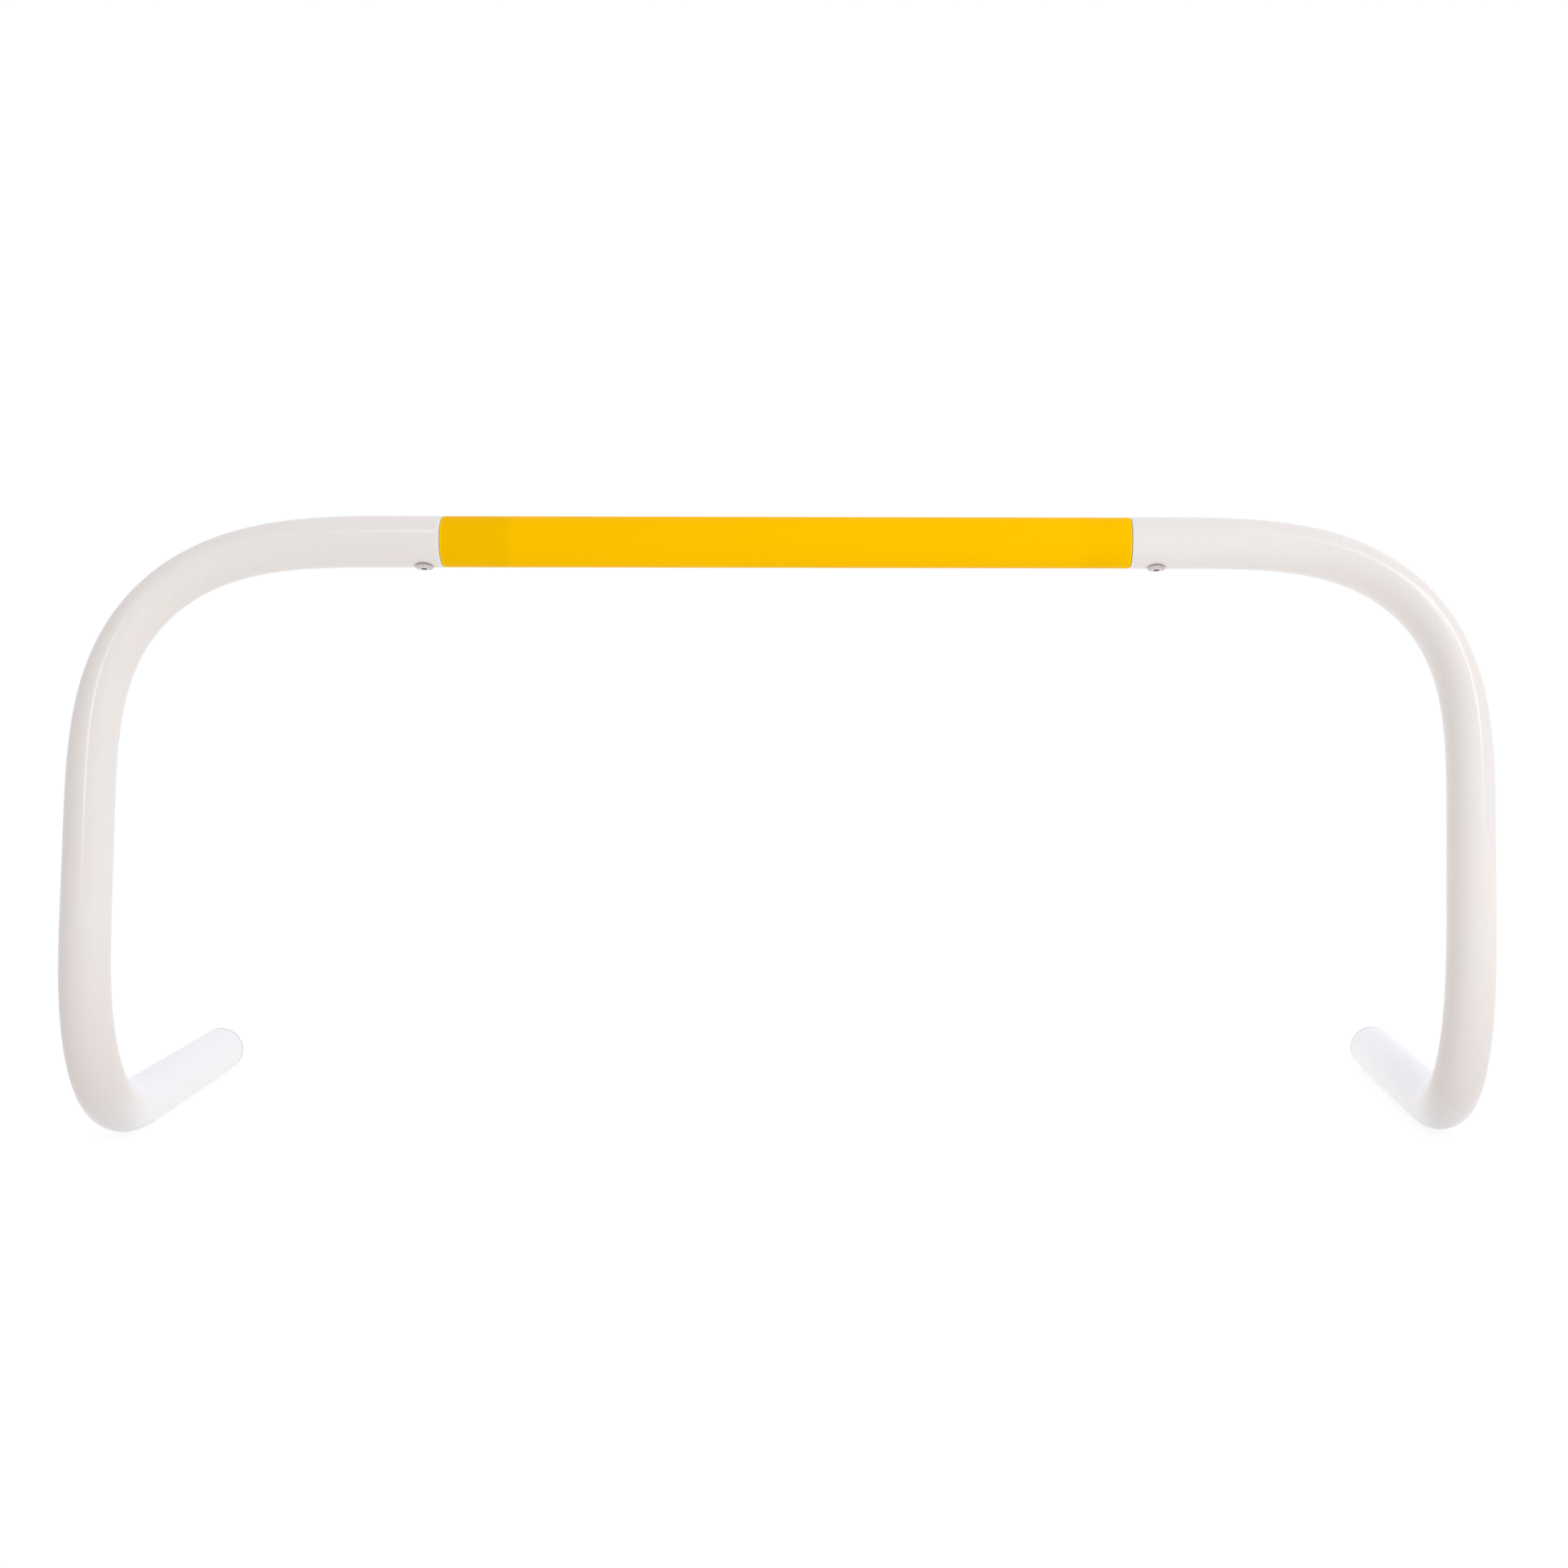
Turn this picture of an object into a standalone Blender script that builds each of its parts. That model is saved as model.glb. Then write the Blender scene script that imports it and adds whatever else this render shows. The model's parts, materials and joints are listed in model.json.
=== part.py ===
# Training hurdle: a straight crossbar tube between two bent tube legs.
# Each leg carries a riveted inner spigot that pushes into the crossbar, and a ribbed cap in its foot.
# Metres, +Z up. +X runs along the crossbar, and the feet run back towards +Y.

import math
from collections import namedtuple

import bmesh
import bpy
from mathutils import Matrix, Vector

# Crossbar and joints
BAR_AXIS_HEIGHT = 0.300
BAR_LENGTH = 0.354
BAR_RADIUS = 0.01314
BAR_WALL = 0.00239
BAR_CHAMFER = 0.0003
JOINT_GAP = 0.0004
FIT_GAP = 0.0003

# Leg tube, drawn thinner where it was bent
LEG_RADIUS = 0.01335
NECK_RADIUS = 0.0119
FOOT_RADIUS = 0.01275
LEG_WALL = 0.0026
LEG_CHAMFER = 0.0005
STUB_LENGTH = 0.032
LEAN = math.radians(22.0)
CORNER_ANGLE = math.radians(95.5)
CORNER_LENGTH = 0.236
FOOT_BEND_LENGTH = 0.164
FOOT_LENGTH = 0.180
FOOT_SPLAY = math.radians(4.3)
BEND_EASE = 0.80
BEND_FLATTENING = 0.07
CORNER_WIDENING = 0.05
FOOT_WIDENING = 0.01
CORNER_NECKED_BY = 0.72
FOOT_WIDE_FROM = 0.25
FOOT_WIDE_BY = 0.80

# Spigot, a plain tube that joins leg and crossbar from inside
SPIGOT_LENGTH = 0.060
SPIGOT_WALL = 0.0020
SPIGOT_CHAMFER = 0.0008
SPIGOT_IN_BAR = {"left": 0.0345, "right": 0.0245}

# Blind rivet through leg and spigot, low on the front of the tube
RIVET_FROM_JOINT = {"left": 0.0094, "right": 0.0134}
RIVET_TILT = math.radians(14.0)
RIVET_HOLE_RADIUS = 0.0027
RIVET_HEAD_RADIUS = 0.00475
RIVET_RIM = 0.0003
RIVET_DOME = 0.0010
RIVET_SHANK_RADIUS = 0.0024
RIVET_BULB_RADIUS = 0.0035
RIVET_TAIL_RADIUS = 0.0030
RIVET_BORE_RADIUS = 0.0014
RIVET_CAVITY_RADIUS = 0.00255
RIVET_DOME_STEPS = 4
MANDREL_RADIUS = 0.0011
MANDREL_HEAD_RADIUS = 0.0022
MANDREL_HEAD_LENGTH = 0.0020
MANDREL_TIP_RADIUS = 0.0015
MANDREL_TIP_LENGTH = 0.0005
MANDREL_RECESS = 0.0008
DRILL_FROM = 0.005
DRILL_TO = 0.015

# Blind side of the rivet: depths below the inside of the spigot
BORE_DEPTH = 0.0013
CAVITY_DEPTH = 0.0018
NECK_DEPTH = 0.0017
SHOULDER_DEPTH = 0.0024
SHANK_DEPTH = 0.0009
BULB_DEPTH = 0.0015
BULB_END_DEPTH = 0.0033
TAIL_DEPTH = 0.0040

# Foot cap, a ribbed plug with a flange as wide as the tube
CAP_FLANGE = 0.0020
CAP_ROUNDING = 0.0008
CAP_PLUG_LENGTH = 0.014
CAP_PLUG_WALL = 0.0018
CAP_PLUG_TAPER = 0.0004
CAP_CORE_RADIUS = 0.0092
CAP_RIB_COUNT = 3
CAP_RIB_START = 0.0027
CAP_RIB_WIDTH = 0.0012
CAP_RIB_PITCH = 0.0036
CAP_ROUNDING_STEPS = 3

# Facets
SIDES = 24
CORNER_RINGS = 18
FOOT_RINGS = 18
STEPS_PER_RING = 8
SHARP_ANGLE = math.radians(30.0)

LEG_INNER_RADIUS = LEG_RADIUS - LEG_WALL
SPIGOT_RADIUS = LEG_INNER_RADIUS - FIT_GAP
SPIGOT_INNER_RADIUS = SPIGOT_RADIUS - SPIGOT_WALL
FACET_ANGLE = math.tau / SIDES
FOOT_AXIS_HEIGHT = FOOT_RADIUS * math.cos(FACET_ANGLE / 2)
UP = Vector((0.0, 0.0, 1.0))
LEG_DOWN = Vector((0.0, -math.sin(LEAN), -math.cos(LEAN)))

Station = namedtuple("Station", "point heading across radius wide deep first_corner")


def finish(name, colour, roughness, metallic=0.0):
    """A plain surface finish."""
    material = bpy.data.materials.new(name)
    material.use_nodes = True
    shader = material.node_tree.nodes["Principled BSDF"]
    shader.inputs["Base Color"].default_value = (*colour, 1.0)
    shader.inputs["Roughness"].default_value = roughness
    shader.inputs["Metallic"].default_value = metallic
    material.diffuse_color = (*colour, 1.0)
    return material


def axes_matrix(point, z_axis, x_hint):
    """A frame at a point: +Z along z_axis, and +X as near as it can be to x_hint."""
    x_axis = (x_hint - x_hint.dot(z_axis) * z_axis).normalized()
    y_axis = z_axis.cross(x_axis)
    turn = Matrix((x_axis, y_axis, z_axis)).transposed()
    return Matrix.Translation(point) @ turn.to_4x4()


def solid(name, bm, material, parent, matrix=None):
    """Turns a finished bmesh into a named object placed under its parent."""
    bmesh.ops.recalc_face_normals(bm, faces=bm.faces)
    mesh = bpy.data.meshes.new(name)
    bm.to_mesh(mesh)
    bm.free()
    mesh.shade_smooth()
    mesh.set_sharp_from_angle(angle=SHARP_ANGLE)
    mesh.materials.append(material)
    obj = bpy.data.objects.new(name, mesh)
    bpy.context.scene.collection.objects.link(obj)
    obj.parent = parent
    if matrix is not None:
        obj.matrix_local = matrix
    return obj


def empty(name, parent, location):
    """A frame that pieces hang from."""
    obj = bpy.data.objects.new(name, None)
    obj.empty_display_size = 0.02
    bpy.context.scene.collection.objects.link(obj)
    obj.parent = parent
    obj.location = location
    return obj


def turned(profile, closed=False):
    """Spins (radius, height) points about +Z, so that a flat facet faces each axis."""
    bm = bmesh.new()
    verts = [bm.verts.new((radius, 0.0, height)) for radius, height in profile]
    edges = [bm.edges.new(pair) for pair in zip(verts, verts[1:])]
    if closed:
        edges.append(bm.edges.new((verts[-1], verts[0])))
    bmesh.ops.spin(
        bm,
        geom=verts + edges,
        cent=(0.0, 0.0, 0.0),
        axis=UP,
        angle=math.tau,
        steps=SIDES,
        use_merge=True,
    )
    bmesh.ops.remove_doubles(bm, verts=bm.verts, dist=1e-7)
    facing = Matrix.Rotation(FACET_ANGLE / 2, 3, "Z")
    bmesh.ops.rotate(bm, verts=bm.verts, cent=(0.0, 0.0, 0.0), matrix=facing)
    return bm


def pipe_profile(start, end, outer, inner, chamfer):
    """The cut section of a straight pipe whose outer edges are chamfered."""
    return [
        (inner, start),
        (outer - chamfer, start),
        (outer, start + chamfer),
        (outer, end - chamfer),
        (outer - chamfer, end),
        (inner, end),
    ]


def eased_bend(start, heading, towards, length, angle, rings):
    """Stations along a bend whose curvature swells from its ends, as in a tube bent over a former."""
    point = start.copy()
    count = rings * STEPS_PER_RING
    stations = []
    for step in range(count):
        turned_to = eased_angle((step + 0.5) / count, angle)
        point += (math.cos(turned_to) * heading + math.sin(turned_to) * towards) * (length / count)
        if (step + 1) % STEPS_PER_RING == 0:
            along = (step + 1) / count
            reached = eased_angle(along, angle)
            tangent = math.cos(reached) * heading + math.sin(reached) * towards
            stations.append((point.copy(), tangent, along))
    return stations


def eased_angle(along, angle):
    """The angle turned at a fraction of a bend with raised cosine curvature."""
    return angle * (along - BEND_EASE * math.sin(math.tau * along) / math.tau)


def between(start, end, share):
    """A value that leaves start and reaches end without a kink."""
    eased = (1.0 - math.cos(math.pi * min(max(share, 0.0), 1.0))) / 2
    return start + (end - start) * eased


def station(point, heading, across, radius, swell=0.0, widening=0.0, first_corner=0):
    """One section of the leg tube, pressed flatter in the plane of the bend by its swell."""
    wide = 1.0 + widening * swell
    deep = 1.0 - BEND_FLATTENING * swell
    return Station(point, heading, across, radius, wide, deep, first_corner)


def leg_stations(side):
    """Stations of one leg's centre line, from the joint plane to the end of its foot tube."""
    outward = Vector((side, 0.0, 0.0))
    across_corner = outward.cross(LEG_DOWN)
    foot = Vector((side * math.sin(FOOT_SPLAY), math.cos(FOOT_SPLAY), 0.0))
    start = outward * (JOINT_GAP / 2)
    stations = [
        station(start, outward, across_corner, LEG_RADIUS),
        station(start + outward * LEG_CHAMFER, outward, across_corner, LEG_RADIUS),
        station(outward * STUB_LENGTH, outward, across_corner, LEG_RADIUS),
    ]
    corner = eased_bend(
        stations[-1].point, outward, LEG_DOWN, CORNER_LENGTH, CORNER_ANGLE, CORNER_RINGS
    )
    for point, tangent, along in corner:
        radius = between(LEG_RADIUS, NECK_RADIUS, along / CORNER_NECKED_BY)
        swell = math.sin(math.pi * along) ** 2
        stations.append(station(point, tangent, across_corner, radius, swell, CORNER_WIDENING))

    # The straight run of the leg takes up what the two bends leave of the bar's height.
    shank = stations[-1].heading
    towards = (foot - foot.dot(shank) * shank).normalized()
    foot_angle = shank.angle(foot)
    across_foot = shank.cross(towards)
    bend_drop = -eased_bend(
        Vector(), shank, towards, FOOT_BEND_LENGTH, foot_angle, FOOT_RINGS
    )[-1][0].z
    height_left = BAR_AXIS_HEIGHT - FOOT_AXIS_HEIGHT + stations[-1].point.z - bend_drop
    knee = stations[-1].point + shank * (height_left / -shank.z)

    # The bends lie in different planes, so each corner is paired with the nearest one past the straight run.
    turn = math.atan2(across_corner.cross(across_foot).dot(shank), across_corner.dot(across_foot))
    first_corner = -round(turn / FACET_ANGLE)
    stations.append(station(knee, shank, across_foot, NECK_RADIUS, first_corner=first_corner))

    # The section turns with the foot bend until a facet lies level under the foot.
    level = UP.cross(foot) if UP.cross(foot).dot(across_foot) > 0.0 else foot.cross(UP)
    bend = eased_bend(knee, shank, towards, FOOT_BEND_LENGTH, foot_angle, FOOT_RINGS)
    for point, tangent, along in bend:
        across = across_foot.lerp(level, along)
        widened = (along - FOOT_WIDE_FROM) / (FOOT_WIDE_BY - FOOT_WIDE_FROM)
        radius = between(NECK_RADIUS, FOOT_RADIUS, widened)
        swell = math.sin(math.pi * along) ** 2
        stations.append(station(point, tangent, across, radius, swell, FOOT_WIDENING, first_corner))
    reach = FOOT_LENGTH - CAP_FLANGE - FIT_GAP
    end = stations[-1].point + foot * reach
    stations.append(station(end, foot, level, FOOT_RADIUS, first_corner=first_corner))
    return stations


def add_ring(bm, station, inset):
    """One ring of corners on a section of the leg tube."""
    wide = (station.radius - inset) * station.wide
    deep = (station.radius - inset) * station.deep
    frame = axes_matrix(station.point, station.heading, station.across)
    ring = []
    for side in range(SIDES):
        turn = FACET_ANGLE * (station.first_corner + side + 0.5)
        corner = Vector((wide * math.cos(turn), deep * math.sin(turn), 0.0))
        ring.append(bm.verts.new(frame @ corner))
    return ring


def leg_tube(stations):
    """The bent tube: an outer and an inner wall lofted through the stations and closed at both ends."""
    bm = bmesh.new()
    insets = [LEG_CHAMFER] + [0.0] * (len(stations) - 1)
    outer = [add_ring(bm, section, inset) for section, inset in zip(stations, insets)]
    inner = [add_ring(bm, section, LEG_WALL) for section in stations]
    rings = outer + inner[::-1]
    for first, second in zip(rings, rings[1:] + rings[:1]):
        for side in range(SIDES):
            bm.faces.new((first[side - 1], first[side], second[side], second[side - 1]))
    return bm


def rivet_profile():
    """The set rivet: dome, shank, and the bulb that its mandrel has pulled up inside the spigot."""
    seat = LEG_RADIUS + FIT_GAP
    rim = seat + RIVET_RIM
    sphere = (RIVET_HEAD_RADIUS**2 + RIVET_DOME**2) / (2 * RIVET_DOME)
    sunk = sphere - RIVET_DOME
    dome = []
    for step in range(RIVET_DOME_STEPS + 1):
        inwards = (RIVET_HEAD_RADIUS - RIVET_BORE_RADIUS) * step / RIVET_DOME_STEPS
        radius = RIVET_HEAD_RADIUS - inwards
        dome.append((radius, rim + math.sqrt(sphere**2 - radius**2) - sunk))
    return [
        *dome,
        (RIVET_BORE_RADIUS, SPIGOT_INNER_RADIUS - BORE_DEPTH),
        (RIVET_CAVITY_RADIUS, SPIGOT_INNER_RADIUS - CAVITY_DEPTH),
        (RIVET_CAVITY_RADIUS, SPIGOT_INNER_RADIUS - TAIL_DEPTH),
        (RIVET_TAIL_RADIUS, SPIGOT_INNER_RADIUS - TAIL_DEPTH),
        (RIVET_BULB_RADIUS, SPIGOT_INNER_RADIUS - BULB_END_DEPTH),
        (RIVET_BULB_RADIUS, SPIGOT_INNER_RADIUS - BULB_DEPTH),
        (RIVET_SHANK_RADIUS, SPIGOT_INNER_RADIUS - SHANK_DEPTH),
        (RIVET_SHANK_RADIUS, seat),
        (RIVET_HEAD_RADIUS, seat),
    ]


def mandrel_profile():
    """The broken stem and the head of the mandrel, as they stay inside the rivet."""
    top = LEG_RADIUS + FIT_GAP + RIVET_RIM + RIVET_DOME - MANDREL_RECESS
    shoulder = SPIGOT_INNER_RADIUS - SHOULDER_DEPTH
    head_end = shoulder - MANDREL_HEAD_LENGTH
    return [
        (0.0, top),
        (MANDREL_RADIUS, top),
        (MANDREL_RADIUS, SPIGOT_INNER_RADIUS - NECK_DEPTH),
        (MANDREL_HEAD_RADIUS, shoulder),
        (MANDREL_HEAD_RADIUS, head_end),
        (MANDREL_TIP_RADIUS, head_end - MANDREL_TIP_LENGTH),
        (0.0, head_end - MANDREL_TIP_LENGTH),
    ]


def cap_profile():
    """The foot cap: rounded flange, ribbed plug and open core."""
    rounding = []
    for step in range(CAP_ROUNDING_STEPS + 1):
        turn = math.pi / 2 * step / CAP_ROUNDING_STEPS
        radius = FOOT_RADIUS - CAP_ROUNDING + CAP_ROUNDING * math.sin(turn)
        rounding.append((radius, CAP_FLANGE - CAP_ROUNDING + CAP_ROUNDING * math.cos(turn)))
    ribs = []
    rib_radius = FOOT_RADIUS - LEG_WALL - FIT_GAP
    for rib in range(CAP_RIB_COUNT):
        top = -CAP_RIB_START - CAP_RIB_PITCH * rib
        ribs += [
            (CAP_CORE_RADIUS, top),
            (rib_radius, top - CAP_RIB_WIDTH / 3),
            (rib_radius, top - CAP_RIB_WIDTH * 2 / 3),
            (CAP_CORE_RADIUS, top - CAP_RIB_WIDTH),
        ]
    core = CAP_CORE_RADIUS - CAP_PLUG_WALL
    return [
        (0.0, CAP_FLANGE),
        *rounding,
        (FOOT_RADIUS, 0.0),
        (CAP_CORE_RADIUS, 0.0),
        *ribs,
        (CAP_CORE_RADIUS - CAP_PLUG_TAPER, -CAP_PLUG_LENGTH),
        (core, -CAP_PLUG_LENGTH),
        (core, 0.0),
        (0.0, 0.0),
    ]


def cut_hole(target, cutter):
    """Drills the cutter's hole through one piece."""
    hole = target.modifiers.new("rivet_hole", "BOOLEAN")
    hole.operation = "DIFFERENCE"
    hole.object = cutter


def build_crossbar(parent, material):
    half = (BAR_LENGTH - JOINT_GAP) / 2
    inner = BAR_RADIUS - BAR_WALL
    profile = pipe_profile(-half, half, BAR_RADIUS, inner, BAR_CHAMFER)
    place = axes_matrix(Vector(), Vector((1.0, 0.0, 0.0)), LEG_DOWN)
    solid("crossbar_tube", turned(profile, closed=True), material, parent, place)


def build_leg(name, side, root, finishes):
    """One leg with all that rides on it, hung from the point where its axis meets the joint plane."""
    joint = empty(f"{name}_joint", root, (side * BAR_LENGTH / 2, 0.0, 0.0))
    outward = Vector((side, 0.0, 0.0))
    stations = leg_stations(side)
    tube = solid(f"{name}_leg_tube", leg_tube(stations), finishes["leg"], joint)

    inside = SPIGOT_IN_BAR[name]
    profile = pipe_profile(
        -inside,
        SPIGOT_LENGTH - inside,
        SPIGOT_RADIUS,
        SPIGOT_INNER_RADIUS,
        SPIGOT_CHAMFER,
    )
    along_bar = axes_matrix(Vector(), outward, LEG_DOWN)
    spigot = solid(f"{name}_spigot", turned(profile, closed=True), finishes["spigot"], joint, along_bar)

    rivet_axis = Vector((0.0, -math.sin(RIVET_TILT), -math.cos(RIVET_TILT)))
    at_rivet = axes_matrix(outward * RIVET_FROM_JOINT[name], rivet_axis, outward)
    rivet = turned(rivet_profile(), closed=True)
    solid(f"{name}_rivet_body", rivet, finishes["rivet"], joint, at_rivet)
    solid(f"{name}_rivet_mandrel", turned(mandrel_profile()), finishes["mandrel"], joint, at_rivet)

    drill = [
        (0.0, DRILL_TO),
        (RIVET_HOLE_RADIUS, DRILL_TO),
        (RIVET_HOLE_RADIUS, DRILL_FROM),
        (0.0, DRILL_FROM),
    ]
    cutter = solid(f"{name}_rivet_drill", turned(drill), finishes["rivet"], joint, at_rivet)
    cutter.hide_render = True
    cutter.display_type = "WIRE"
    cut_hole(tube, cutter)
    cut_hole(spigot, cutter)

    end = stations[-1]
    at_end = axes_matrix(end.point + end.heading * FIT_GAP, end.heading, UP)
    solid(f"{name}_foot_cap", turned(cap_profile()), finishes["cap"], joint, at_end)


def centre_over_origin(root):
    """Moves the whole hurdle so that the origin lies under the middle of its outline."""
    bpy.context.view_layer.update()
    depths = [
        (obj.matrix_world @ vert.co).y
        for obj in bpy.data.objects
        if obj.type == "MESH" and not obj.hide_render
        for vert in obj.data.vertices
    ]
    root.location.y = -(min(depths) + max(depths)) / 2
    bpy.context.view_layer.update()


def main():
    for obj in list(bpy.data.objects):
        bpy.data.objects.remove(obj, do_unlink=True)
    finishes = {
        "bar": finish("yellow_tube", (0.99, 0.545, 0.0), 0.30),
        "leg": finish("white_tube", (0.80, 0.78, 0.76), 0.25),
        "spigot": finish("grey_spigot", (0.35, 0.35, 0.36), 0.50),
        "rivet": finish("rivet_aluminium", (0.80, 0.80, 0.82), 0.30, 1.0),
        "mandrel": finish("mandrel_steel", (0.35, 0.35, 0.36), 0.40, 1.0),
        "cap": finish("white_cap", (0.82, 0.82, 0.82), 0.45),
    }
    root = empty("hurdle", None, (0.0, 0.0, BAR_AXIS_HEIGHT))
    build_crossbar(root, finishes["bar"])
    for name, side in (("left", -1.0), ("right", 1.0)):
        build_leg(name, side, root, finishes)
    centre_over_origin(root)


main()
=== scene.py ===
# Training hurdle: smooth bent pipes, set rivets and foot caps, with their finishes and a pale studio.
import json
import math
import bmesh
import bpy
from mathutils import Matrix, Vector, noise

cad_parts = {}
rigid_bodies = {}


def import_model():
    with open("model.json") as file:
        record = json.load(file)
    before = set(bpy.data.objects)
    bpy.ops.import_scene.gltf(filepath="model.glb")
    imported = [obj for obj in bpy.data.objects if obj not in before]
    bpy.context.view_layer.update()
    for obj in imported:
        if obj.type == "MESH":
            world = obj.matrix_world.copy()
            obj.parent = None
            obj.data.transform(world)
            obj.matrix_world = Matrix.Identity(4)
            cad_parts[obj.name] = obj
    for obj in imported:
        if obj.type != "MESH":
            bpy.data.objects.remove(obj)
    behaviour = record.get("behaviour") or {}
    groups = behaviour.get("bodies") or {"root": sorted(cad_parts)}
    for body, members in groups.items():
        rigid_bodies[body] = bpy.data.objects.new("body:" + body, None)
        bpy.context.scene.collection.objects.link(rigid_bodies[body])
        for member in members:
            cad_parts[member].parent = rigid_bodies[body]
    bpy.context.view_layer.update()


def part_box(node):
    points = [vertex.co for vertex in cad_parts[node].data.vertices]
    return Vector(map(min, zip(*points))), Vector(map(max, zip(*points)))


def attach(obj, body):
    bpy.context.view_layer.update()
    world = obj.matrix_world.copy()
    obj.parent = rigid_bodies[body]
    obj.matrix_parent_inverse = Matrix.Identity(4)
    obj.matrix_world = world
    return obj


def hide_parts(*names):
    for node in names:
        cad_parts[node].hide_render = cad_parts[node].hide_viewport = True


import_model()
scene = bpy.context.scene

up = Vector((0, 0, 1))
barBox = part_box("crossbar_tube")
barAxis = (barBox[0] + barBox[1]) / 2  # middle of the crossbar, on its axis
jointX = 0.177  # from the hurdle's middle to the joint of each leg
sides = {"left": -1, "right": 1}

meshing = {
    "mergeWithin": 1e-6,
    "smoothTo": math.radians(38),
    "roundFrom": 1.0,  # edges bent more than this, in radians, are rounded
    "roundSteps": 3,
}
finishes = {}  # the material of each slot


# Pieces
def frameAt(point, heading, across):
    # Z along the heading, X as near as it goes to across.
    xAxis = (across - across.dot(heading) * heading).normalized()
    turn = Matrix((xAxis, heading.cross(xAxis), heading)).transposed()
    return Matrix.Translation(point) @ turn.to_4x4()


def newPiece(name, bm, body, slot, stands, place=None):
    if place:
        bmesh.ops.transform(bm, matrix=place, verts=bm.verts)
    bmesh.ops.remove_doubles(bm, verts=bm.verts, dist=meshing["mergeWithin"])
    bmesh.ops.recalc_face_normals(bm, faces=bm.faces)
    mesh = bpy.data.meshes.new(name)
    bm.to_mesh(mesh)
    bm.free()
    mesh.shade_smooth()
    mesh.set_sharp_from_angle(angle=meshing["smoothTo"])
    mesh.materials.append(finishes[slot])
    piece = bpy.data.objects.new(name, mesh)
    scene.collection.objects.link(piece)
    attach(piece, body)
    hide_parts(stands)


def turned(profile, steps, closed=True):
    # A lathe: the profile is radius and height, turned round Z.
    bm = bmesh.new()
    verts = [bm.verts.new((radius, 0, height)) for radius, height in profile]
    edges = [bm.edges.new(pair) for pair in zip(verts, verts[1:])]
    if closed:
        edges.append(bm.edges.new((verts[-1], verts[0])))
    bmesh.ops.spin(
        bm, geom=verts + edges, cent=(0, 0, 0), axis=up, dvec=(0, 0, 0),
        angle=math.tau, steps=steps, use_merge=True,
    )
    bmesh.ops.remove_doubles(bm, verts=bm.verts, dist=meshing["mergeWithin"])
    return bm


def softenEdges(bm, width):
    bmesh.ops.recalc_face_normals(bm, faces=bm.faces)
    sharp = [
        edge for edge in bm.edges
        if len(edge.link_faces) == 2 and edge.calc_face_angle() > meshing["roundFrom"]
    ]
    bmesh.ops.bevel(
        bm, geom=sharp, offset=width, segments=meshing["roundSteps"], profile=0.5,
        affect="EDGES", material=-1,
    )


# Shader nodes
class Wire:
    # A socket that can be reckoned with and led into further nodes.
    def __init__(self, tree, socket=None):
        self.tree = tree
        self.socket = socket

    def node(self, kind, settings=None, inputs=None, output=0):
        made = self.tree.nodes.new(kind)
        for name, value in (settings or {}).items():
            setattr(made, name, value)
        for name, value in (inputs or {}).items():
            if isinstance(value, Wire):
                self.tree.links.new(value.socket, made.inputs[name])
            else:
                made.inputs[name].default_value = value
        return Wire(self.tree, made.outputs[output] if made.outputs else None)

    def maths(self, operation, first, second):
        return self.node("ShaderNodeMath", {"operation": operation}, {0: first, 1: second})

    def __add__(self, other):
        return self.maths("ADD", self, other)

    def __sub__(self, other):
        return self.maths("SUBTRACT", self, other)

    def __rsub__(self, other):
        return self.maths("SUBTRACT", other, self)

    def __mul__(self, other):
        return self.maths("MULTIPLY", self, other)

    def __lt__(self, other):
        return self.maths("LESS_THAN", self, other)

    def __gt__(self, other):
        return self.maths("GREATER_THAN", self, other)

    __radd__ = __add__
    __rmul__ = __mul__

    def atLeast(self, other):
        return self.maths("MAXIMUM", self, other)

    def part(self, name):
        return Wire(self.tree, self.socket.node.outputs[name])

    def axis(self, letter):
        return self.node("ShaderNodeSeparateXYZ", {}, {0: self}).part(letter)

    def stretched(self, scale, shift=(0, 0, 0)):
        return self.node(
            "ShaderNodeMapping", {}, {"Vector": self, "Scale": scale, "Location": shift}
        )

    def clouds(self, scale=1, detail=2, roughness=0.5):
        return self.node(
            "ShaderNodeTexNoise", {"normalize": True},
            {"Vector": self, "Scale": scale, "Detail": detail, "Roughness": roughness},
        )

    def blend(self, first, second):
        return self.node(
            "ShaderNodeMix", {"data_type": "RGBA"}, {0: self, 6: first, 7: second}, output=2
        )

    def between(self, low, high):
        return self.node(
            "ShaderNodeMapRange", {}, {"Value": self, "From Min": low, "From Max": high}
        )

    def bump(self, look):
        return self.node(
            "ShaderNodeBump", {},
            {"Height": self, "Strength": look["bump"], "Distance": look["bumpDepth"]},
        )


def newFinish(name):
    material = bpy.data.materials.new(name)
    material.use_nodes = True
    return material, material.node_tree.nodes["Principled BSDF"]


def plug(shader, values):
    for name, value in values.items():
        if isinstance(value, Wire):
            shader.id_data.links.new(value.socket, shader.inputs[name])
        else:
            shader.inputs[name].default_value = value


def ownPlace(shader):
    return Wire(shader.id_data).node("ShaderNodeTexCoord").part("Object")


def attributeOf(shader, name):
    return Wire(shader.id_data).node("ShaderNodeAttribute", {"attribute_name": name})


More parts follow.
